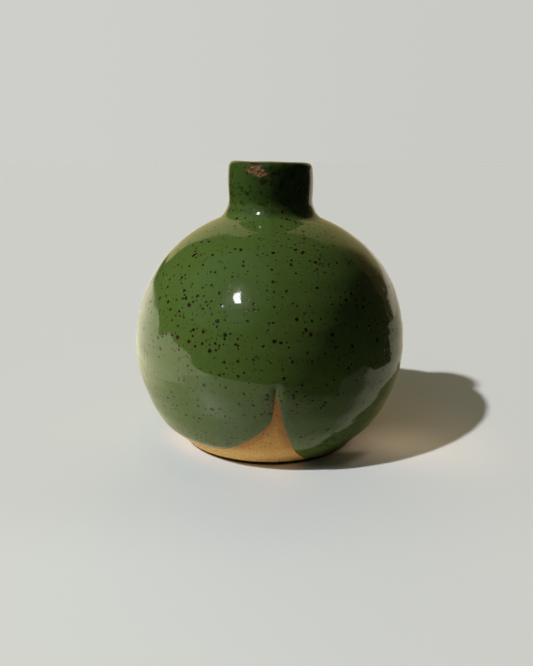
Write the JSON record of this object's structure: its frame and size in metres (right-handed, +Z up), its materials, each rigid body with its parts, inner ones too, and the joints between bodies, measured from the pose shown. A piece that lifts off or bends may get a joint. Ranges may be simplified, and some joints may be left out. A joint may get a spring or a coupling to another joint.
{
  "type": "bud vase",
  "caption": "Round stoneware bud vase with a short straight neck, green speckled glaze and a bare clay tent at the foot.",
  "frame": {"origin": "centre of the foot, on the surface that the vase stands on", "axes": "+Z up along the throwing axis, -Y towards the front, where the larger bare clay tent is, +X to the right seen from the front"},
  "size_m": [0.09, 0.09, 0.092],
  "materials": {
    "bare_stoneware": "unglazed, matte, fine toothy grain with dark iron specks",
    "green_glaze": "glossy olive green with brown iron speckle, breaking rust brown on the lip",
    "liner_glaze": "glossy olive green, lightly speckled"
  },
  "bodies": {
    "root": {"stoneware_body": "bare_stoneware", "glaze_left_dip": "green_glaze", "glaze_right_dip": "green_glaze", "glaze_liner": "liner_glaze"}
  },
  "joints": []
}
